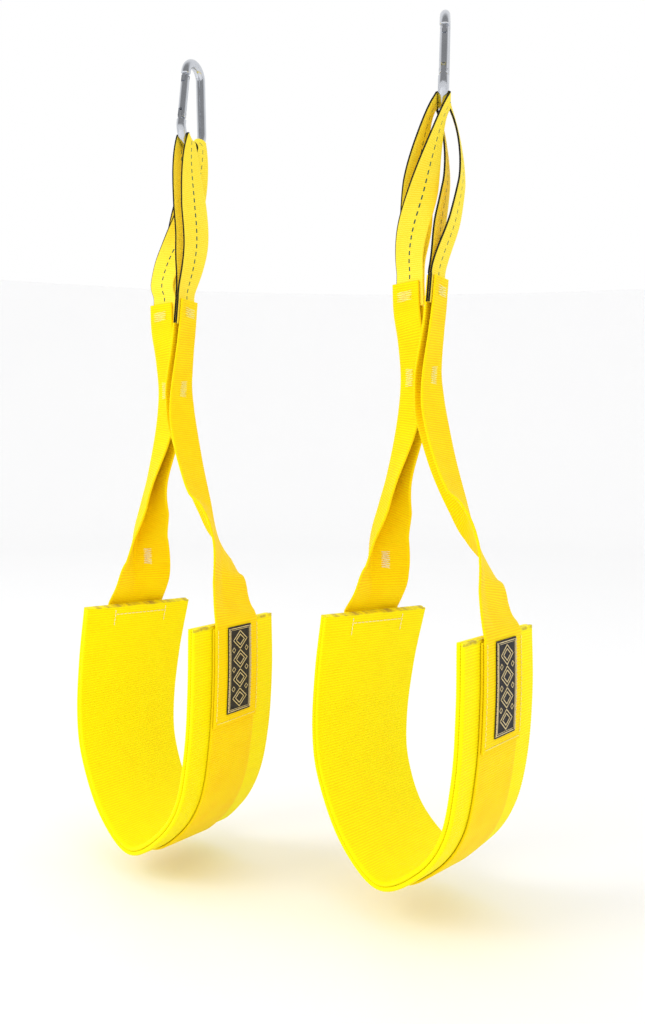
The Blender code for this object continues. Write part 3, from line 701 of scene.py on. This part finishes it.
def carrier_middle(s):
    return LEFT_W + (RIGHT_W - LEFT_W) * np.clip((np.asarray(s) - 0.2) / 0.6, 0, 1)


def on_cuff(s, w, lift):
    """One point of the cuff, s round its rim and w across it, lifted off the middle."""
    return cuff_grid([s], [w], lift)[0][0, 0]


def thread_run(sling, points):
    """A single stitch through the points, its ends dipping into the cloth."""
    tip = THREAD_R * 0.4
    return tube(sling, points, [tip, *[THREAD_R] * (len(points) - 2), tip], THREAD_SIDES)


# One stitch: (share of its length, height over the cloth).
STITCH_ARCH = [(0, -0.25), (0.12, 0.1), (0.35, 0.28), (0.65, 0.28), (0.88, 0.1), (1, -0.25)]


def stitch_row(sling, place, start, end, pitch=STITCH):
    """Lockstitches along a line; place(u, s, lift) maps the cloth to the sling."""
    start, end = np.asarray(start, float), np.asarray(end, float)
    count = max(int(np.linalg.norm(end - start) / pitch), 1)
    step = (end - start) / count
    parts = []
    for k in range(count):
        a = start + step * (k + 0.08)
        b = start + step * (k + 0.92)
        points = [place(*(a + (b - a) * f), lift) for f, lift in STITCH_ARCH]
        parts.append(thread_run(sling, points))
    return parts


def make_cuff(sling, mats):
    name, body = sling["name"], f"{sling['name']}_sling"
    s = np.linspace(0, 1, stations(RIM_LENGTH, WIDE_RIB[0]))
    u = columns(WIDE, WIDE_COLUMNS, CUFF_LAYER)
    w = 0.5 + u / WIDE
    for label, offset in (("inner", LAYER_1), ("outer", LAYER_2)):
        grid = cuff_grid(s, w, offset)[0]
        piece = strap_object(sling, f"{name}_cuff_{label}", grid, u, CUFF_LAYER, WIDE_RIB)
        dress(piece, body, mats["wide"], "yellow_webbing", f"{name}_cuff_{label}_layer")
        lay(grid)
    trim = CARRIER_TRIM / RIM_LENGTH
    s = np.linspace(trim, 1 - trim, stations(RIM_LENGTH, STRAP_RIB[0]))
    u = columns(STRAP, STRAP_COLUMNS, STRAP_T)
    w = carrier_middle(s)[:, None] + u / WIDE
    grid = cuff_grid(s, w, CARRIER)[0]
    piece = strap_object(sling, f"{name}_carrier", grid, u, STRAP_T, STRAP_RIB)
    dress(piece, body, mats["strap"], "yellow_webbing", f"{name}_carrier_strap")
    lay(grid)
    make_seams(sling, mats)
    make_label(sling, mats)


def make_seams(sling, mats):
    """Stitch rows that hold the layers, the carrier and the uprights' sewn ends."""
    name, body = sling["name"], f"{sling['name']}_sling"
    inner_face = LAYER_1 - CUFF_LAYER / 2 - WIDE_RIB[1] / 2
    outer_face = UPRIGHT_AT + STRAP_T / 2 + STRAP_RIB[1] / 2
    half, edge = SEAM / 2, STRAP / 2 - EDGE_SEAM_IN

    def cross_row(face, depth):
        return stitch_row(sling, face, (-half, depth), (half, depth))

    def edge_rows(face, start, stop, pitch):
        return [part for u in (-edge, edge)
                for part in stitch_row(sling, face, (u, start), (u, stop), pitch)]

    for end, middle in (("outer", LEFT_W), ("inner", RIGHT_W)):
        def place(face, sign, end=end, middle=middle):
            def point(u, depth, lift):
                s = depth / RIM_LENGTH
                return on_cuff(s if end == "outer" else 1 - s, middle + u / WIDE,
                               face + sign * lift)
            return point

        inside, outside = place(inner_face, -1), place(outer_face, 1)
        top = cross_row(inside, TOP_SEAM_AT) + edge_rows(inside, *TOP_EDGE_SEAM, SHORT_STITCH)
        piece = joined(f"{name}_inside_stitches_{end}", top)
        dress(piece, body, mats["thread"], "tack_thread", f"{name}_top_seam_{end}")
        box = cross_row(outside, END_SEAM_AT) + edge_rows(outside, *END_EDGE_SEAM, STITCH)
        if end == "outer":
            box += cross_row(outside, TOP_SEAM_AT)
        piece = joined(f"{name}_outside_stitches_{end}", box)
        dress(piece, body, mats["yellow_thread"], "tack_thread", f"{name}_end_seam_{end}")


def make_label(sling, mats):
    """A charcoal woven label with a light gold border and a plain lozenge pattern."""
    name, body = sling["name"], f"{sling['name']}_sling"
    long = LABEL_REACH[0] - LABEL_REACH[1]
    wide = LABEL_SPAN[1] - LABEL_SPAN[0]
    centre = sum(LABEL_SPAN) / 2
    u = columns(wide, WIDE_COLUMNS, LABEL_T)
    s = 1 - np.linspace(*LABEL_REACH, LABEL_ROWS) / RIM_LENGTH
    grid = cuff_grid(s, RIGHT_W + (centre + u) / WIDE, LABEL_AT)[0]
    piece = strap_object(sling, f"{name}_label_cloth", grid, u, LABEL_T, LABEL_RIB)
    dress(piece, body, mats["label"], "charcoal_label", f"{name}_label")
    lay(grid)
    face = LABEL_AT + LABEL_T / 2 + 0.03

    def place(a, b, lift):
        """a along the label from its low end and b across it, from its middle."""
        return on_cuff(1 - (LABEL_REACH[0] - a) / RIM_LENGTH, RIGHT_W + (centre + b) / WIDE,
                       face + lift)

    def cord(corners, radius):
        """A gold thread laid round a closed figure."""
        corners = np.asarray(corners + corners[:1], float)
        line = [a + (b - a) * f for a, b in zip(corners, corners[1:])
                for f in np.linspace(0, 1, 9)[:-1]] + [corners[-1]]
        points = [place(a, b, THREAD_LIFT) for a, b in line]
        return tube(sling, points, radius, THREAD_SIDES)

    def lozenge(a, b, reach, half, radius):
        return cord([(a - reach, b), (a, b - half), (a + reach, b), (a, b + half)], radius)

    parts = []
    for inset, radius in LABEL_BORDERS:
        a, b = long - inset, wide / 2 - inset
        parts.append(cord([(inset, -b), (a, -b), (a, b), (inset, b)], radius))
    middles = np.linspace(11, long - 11, 4)
    for middle in middles:
        parts += [lozenge(middle, 0, *size, LOZENGE_R) for size in LOZENGES]
    for middle in (middles[:-1] + middles[1:]) / 2:
        for side in (-1, 1):
            parts.append(lozenge(middle, side * SMALL_AT, SMALL_LOZENGE, side * SMALL_LOZENGE,
                                 SMALL_R))
    piece = joined(f"{name}_label_pattern", parts)
    dress(piece, body, mats["gold"], "charcoal_label")
    edge = wide / 2 - STITCHES_IN
    parts = [part for b in (-edge, edge)
             for part in stitch_row(sling, place, (STITCHES_IN, b), (long - STITCHES_IN, b),
                                    LABEL_STITCH)]
    piece = joined(f"{name}_label_stitches", parts)
    dress(piece, body, mats["gold"], "charcoal_label")


# ---- uprights ------------------------------------------------------------------------------------
def fold_section(u, opening, crease):
    """Middle line of a strap folded lengthwise: (along legs, across) at widths u."""
    turn = math.radians(FLAT - opening)
    distance = u - crease
    reach = np.abs(distance)
    bend = FOLD_R * turn
    angle = np.minimum(reach / FOLD_R, turn)
    legs = FOLD_R * (1 - np.cos(angle)) + np.maximum(reach - bend, 0) * math.sin(turn)
    across = FOLD_R * np.sin(angle) + np.maximum(reach - bend, 0) * math.cos(turn)
    return legs, np.sign(distance) * across


def square_to(tangent, degrees):
    """The horizontal heading, leant until it is square to the tangent."""
    flat = heading(degrees)
    return unit(flat - tangent * (flat @ tangent))


def upright_grid(which, u_values):
    """Middle surface of an upright, from its sewn end up to its folded top end."""
    left = which == "left"
    pitch = STRAP_RIB[0] / STATIONS_PER_RIB
    u = np.asarray(u_values, float)
    middle = LEFT_W if left else RIGHT_W
    sewn = np.linspace(SEWN, 2.0, int((SEWN - 2) / pitch)) / RIM_LENGTH
    lower, _ = cuff_grid(sewn if left else 1 - sewn, middle + u / WIDE, UPRIGHT_AT)
    route = LEFT_UPRIGHT if left else RIGHT_UPRIGHT
    crease = route[0][5]
    start, normal = cuff_grid([0 if left else 1], [middle + crease / WIDE], UPRIGHT_AT)
    angle = math.degrees(math.atan2(-normal[0, 0][1], -normal[0, 0][0]))
    line = smooth([(*start[0, 0], angle, FLAT, crease), *route], UPRIGHT_SAMPLES)
    length = np.linalg.norm(np.diff(line[:, :3], axis=0), axis=1).sum()
    tangent = unit(np.gradient(line[:, :3], axis=0))
    side = 1 if left else -1
    rows = []
    for k in np.linspace(0, len(line) - 1, int(length / pitch)).round().astype(int):
        row, t = line[k], tangent[k]
        legs_dir = square_to(t, row[3])
        legs, across = fold_section(u, *row[4:])
        free = ease(np.clip((row[2] - CUFF_TOP) / SETTLE, 0, 1))
        across_dir = side * unit(free * np.cross(t, legs_dir) + (1 - free) * heading(row[3] + 90))
        rows.append(row[:3] + np.outer(legs, legs_dir) + np.outer(across, across_dir))
    return np.concatenate([lower, np.array(rows)])


def fold_columns():
    half, r = STRAP / 2, STRAP_T / 2
    bend = [half - r + r * math.sin(math.radians(a)) for a in SELVAGE_BEND]
    near = [-12.0, -9.0, -7.0, -5.6, -4.4, -3.3, -2.2, -1.1, 0.0]
    left = [-b for b in bend] + list(np.linspace(-(half - r), -14.0, 7)) + near
    return np.array(left + [-v for v in left[-2::-1]])


# Stitched tacks on an upright: (name, height of the middle, half length, leg of the fold
# that carries it, from and to across that leg, on the fold's outside or inside).
TACKS = [("loop_tack", -205, 4, -1, (7, 21), 1), ("grip_tack", -268, 7, -1, (9, 17), 1),
         ("fold_tack", -412, 7, 1, (4, 11), -1)]


def make_uprights(sling, mats):
    body = f"{sling['name']}_sling"
    for which, end in (("left", "outer"), ("right", "inner")):
        u = fold_columns()
        grid = upright_grid(which, u)
        piece = strap_object(sling, f"{sling['name']}_upright_strap_{end}", grid, u, STRAP_T,
                             STRAP_RIB)
        dress(piece, body, mats["strap"], "yellow_webbing", f"{sling['name']}_upright_{end}")
        lay(grid)
        for label, height, half, leg, span, face in TACKS:
            out = face * (1 if which == "left" else -1)
            parts = tack(sling, which, leg, height, half, span, out)
            piece = joined(f"{sling['name']}_{label}_thread_{end}", parts)
            mat = mats["thread" if label == "fold_tack" else "yellow_thread"]
            dress(piece, body, mat, "tack_thread", f"{sling['name']}_{label}_{end}")


def tack(sling, which, leg, height, half, span, out):
    """Threads to and fro across the leg, between the heights of a bar tack."""
    across = sorted(leg * v for v in np.linspace(*span, TACK_STEPS))
    grid = upright_grid(which, across)
    face = grid + normals(grid) * out * (STRAP_T / 2 + STRAP_RIB[1] / 2 + THREAD_LIFT)
    z = grid[:, TACK_STEPS // 2, 2]
    parts = []
    levels = np.arange(height - half, height + half, TACK_PITCH)
    for k, (low, high) in enumerate(zip(levels, levels[1:])):
        first, last = (low, high) if k % 2 else (high, low)
        rows = [int(np.abs(z - v).argmin()) for v in np.linspace(first, last, TACK_STEPS)]
        parts.append(thread_run(sling, np.array([face[r, c] for c, r in enumerate(rows)])))
    return parts


# ---- loops ---------------------------------------------------------------------------------------
def loop_grid(sling, which, y_values):
    """Middle surface of a loop: up one leg, over the rod, down the other leg."""
    along, across, up = hook_frame(sling)
    y = np.asarray(y_values, float)
    outer = which == "outer"
    end = sling["outer_end"] * (1 if outer else -1)
    spread = BUNCHED / LOOP / (HOOK_BOTTOM_R - WRAP_R)
    phi = end * (LOOP / 2 * spread + LAP) + y * spread
    centre = BOTTOM_CENTRE[0] * along + BOTTOM_CENTRE[1] * up
    rod_low = centre[2] - HOOK_BOTTOM_R
    fold = smooth(LEFT_UPRIGHT if outer else RIGHT_UPRIGHT, FOLD_SAMPLES, FOLD_FINE)
    fold_t = unit(np.gradient(fold[:, :3], axis=0))

    def tuck(height):
        """Middle and width direction of the loop's end inside the fold."""
        k = int(np.abs(fold[:, 2] - height).argmin())
        legs_dir = square_to(fold_t[k], fold[k, 3])
        return fold[k, :3] + TUCK_IN * legs_dir, legs_dir * (1 if outer else -1), fold_t[k]

    mouth = tuck(STRAP_TOP)[0]
    route = smooth([(0, *mouth[:2]), *sling[which]], LOOP_SAMPLES)

    def wrap(tau):
        r = HOOK_BOTTOM_R - WRAP_R * math.cos(tau)
        return (centre + np.outer(r * np.sin(phi), along) - np.outer(r * np.cos(phi), up)
                + WRAP_R * math.sin(tau) * across)

    def leg(side, v):
        if v < 0:
            middle, width_dir, t = tuck(STRAP_TOP + TUCK * v)
            return middle + np.outer(y, width_dir) + side * PLY * np.cross(width_dir, t)
        spot = [np.interp(v, route[:, 0], route[:, k]) for k in (1, 2)]
        free = max(v - FREE_FROM, 0) / (1 - FREE_FROM)
        to_rod = ease(np.clip((v - GATHER_FROM) / (1 - GATHER_FROM), 0, 1))
        turn = LOOP_HEADING[which]
        twist = 0.0 if outer else sling["inner_twist"] * math.sin(math.pi * free)
        width_dir = heading(turn + (sling["hook_yaw"] - turn) * ease(free) + twist)
        height = STRAP_TOP + (rod_low - STRAP_TOP) * v
        apart = PLY + (WRAP_R - PLY) * ease(min(free * 3, 1.0)) + BOW * math.sin(math.pi * free)
        flat = (np.array([*spot, height]) + np.outer(y, width_dir)
                + side * apart * np.cross(width_dir, up))
        return flat * (1 - to_rod) + wrap(side * math.pi / 2) * to_rod

    fractions = [*np.linspace(-1.0, 0.0, LEG_ROWS // 6, endpoint=False),
                 *np.linspace(0.0, 1.0, LEG_ROWS)]
    over = [wrap(t) for t in np.linspace(-math.pi / 2, math.pi / 2, WRAP_ROWS + 2)[1:-1]]
    return np.array([*(leg(-1, v) for v in fractions), *over,
                     *(leg(1, v) for v in reversed(fractions))])


def make_loops(sling, mats):
    for which in ("outer", "inner"):
        u = columns(LOOP, STRAP_COLUMNS, LOOP_T)
        grid = loop_grid(sling, which, u)
        piece = strap_object(sling, f"{sling['name']}_loop_strap_{which}", grid, u, LOOP_T,
                             LOOP_RIB)
        dress(piece, None, mats["loop"], "pale_webbing", f"{sling['name']}_loop_{which}")
        lay(grid)
        top, low = (to_world(sling, [0, 0, STRAP_TOP + height]) for height in LOOP_BEND)
        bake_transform(piece)
        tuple(top)
        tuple(low)


# ---- camera, light and floor ---------------------------------------------------------------------
VIEW_TURN, VIEW_ROLL = 21.9, -0.8
CAMERA_AT = (0.3089, -0.7349, -0.3295)
LENS, SHIFT_Y = 35.16, -0.0508
FLOOR_Z, FLOOR_R, DISH_R, DISH_SIDES = -0.668, 3.2, 1.2, 96


def make_camera():
    data = bpy.data.cameras.new("camera")
    data.sensor_width = 36.0
    data.lens = LENS
    data.shift_y = SHIFT_Y
    camera = bpy.data.objects.new("camera", data)
    camera.location = CAMERA_AT
    camera.rotation_euler = (math.radians(90), math.radians(VIEW_ROLL), math.radians(VIEW_TURN))
    bpy.context.scene.collection.objects.link(camera)
    bpy.context.scene.camera = camera


def area_light(name, place, aim, size, power):
    data = bpy.data.lights.new(name, "AREA")
    data.shape = "RECTANGLE"
    data.size, data.size_y = size
    data.energy = power
    lamp = bpy.data.objects.new(name, data)
    lamp.location = place
    direction = np.asarray(aim, float) - place
    yaw = math.atan2(direction[1], direction[0])
    pitch = math.atan2(direction[2], math.hypot(direction[0], direction[1]))
    lamp.rotation_euler = (pitch + math.pi / 2, 0, yaw - math.pi / 2)
    lamp.visible_glossy = False
    bpy.context.scene.collection.objects.link(lamp)


def dark_side(tree):
    """White all round, with the dark front of the studio showing only in reflections."""
    links, new = tree.links, tree.nodes.new
    front = new("ShaderNodeVectorMath")
    front.operation = "DOT_PRODUCT"
    front.inputs[1].default_value = (*unit(np.array(CAMERA_AT[:2])), 0.0)
    links.new(new("ShaderNodeTexCoord").outputs["Generated"], front.inputs[0])
    shade = new("ShaderNodeMapRange")
    shade.inputs["From Min"].default_value = -0.15
    shade.inputs["From Max"].default_value = 0.4
    shade.inputs["To Max"].default_value = 0.66
    links.new(front.outputs["Value"], shade.inputs["Value"])
    seen = new("ShaderNodeMath")
    seen.operation = "MULTIPLY"
    links.new(new("ShaderNodeLightPath").outputs["Is Glossy Ray"], seen.inputs[0])
    links.new(shade.outputs[0], seen.inputs[1])
    level = new("ShaderNodeMath")
    level.operation = "SUBTRACT"
    level.inputs[0].default_value = 1.0
    links.new(seen.outputs[0], level.inputs[1])
    links.new(level.outputs[0], tree.nodes["Background"].inputs["Strength"])
    tree.nodes["Background"].inputs["Color"].default_value = (1.0, 1.0, 1.0, 1.0)


def make_stage():
    """A white dish: a floor that curves up into a rim all round."""
    profile = [(0.0, 0.0), (1.2, 0.0), (2.4, 0.0), (FLOOR_R, 0.0)]
    profile += [(FLOOR_R + DISH_R * math.sin(a), DISH_R * (1 - math.cos(a)))
                for a in np.linspace(0, math.pi / 2, 12)[1:]]
    sides = DISH_SIDES
    points = [(0.0, 0.0, FLOOR_Z)]
    for radius, height in profile[1:]:
        points += [(radius * math.cos(t), radius * math.sin(t), FLOOR_Z + height)
                   for t in np.arange(sides) * math.tau / sides]
    faces = [[0, 1 + k, 1 + (k + 1) % sides] for k in range(sides)]
    for ring in range(len(profile) - 2):
        for k in range(sides):
            m = (k + 1) % sides
            a, b = 1 + ring * sides, 1 + (ring + 1) * sides
            faces.append([a + k, b + k, b + m, a + m])
    floor = mesh_object("floor", points, faces)
    sh = Shader("pale_floor", 0.7, specular=0.2)
    sh.colour(sh.mix(sh.noise(3.0, 2.0), (0.94, 0.94, 0.945), (0.955, 0.955, 0.955)))
    floor.data.materials.append(sh.mat)
    world = bpy.data.worlds.new("studio")
    world.use_nodes = True
    dark_side(world.node_tree)
    bpy.context.scene.world = world
    area_light("key", (-1.3, -1.5, 0.9), (0, 0, -0.4), (1.2, 1.2), 17)
    area_light("fill", (1.6, -1.4, 0.2), (0, 0, -0.4), (1.0, 1.4), 3)
    bpy.context.scene.view_settings.view_transform = "Standard"


def main():
    make_camera()
    make_stage()
    mats = {
        "strap": webbing("yellow_strap", GOLDEN, GOLDEN_MOTTLE_AND_SHADE, 1.15, STRAP_RIB[0], STRAP / 2),
        "wide": webbing("yellow_wide", YELLOW, YELLOW_MOTTLE_AND_SHADE, 1.4, WIDE_RIB[0], WIDE / 2,
                        burnt_ends=RIM_LENGTH),
        "loop": webbing("pale_loop", PALE, PALE_MOTTLE_AND_SHADE, 1.0, LOOP_RIB[0], LOOP / 2, tracer=True),
        "thread": thread_material("pale_thread", (0.99, 0.92, 0.72), (0.97, 0.78, 0.45)),
        "yellow_thread": thread_material("yellow_thread", (0.99, 0.92, 0.30), (0.97, 0.80, 0.10)),
        "gold": thread_material("gold_thread", (0.86, 0.72, 0.42), (0.60, 0.45, 0.18)),
        "label": label_material(),
        "steel": steel_material("polished_steel", 0.15, (0.50, 0.52, 0.56)),
        "steel_dull": steel_material("turned_steel", 0.3, (0.36, 0.38, 0.41)),
    }
    for sling in SLINGS:
        make_hook(sling, mats)
        make_gate(sling, mats)
        make_loops(sling, mats)
        make_uprights(sling, mats)
        make_cuff(sling, mats)
        # The parts inside the gate keep their CAD shapes.
        for part in ("gate_spring", "spring_plunger"):
            obj = bpy.data.objects[f"{sling['name']}_{part}"]
            obj.data.materials.clear()
            obj.data.materials.append(mats["steel_dull"])


main()
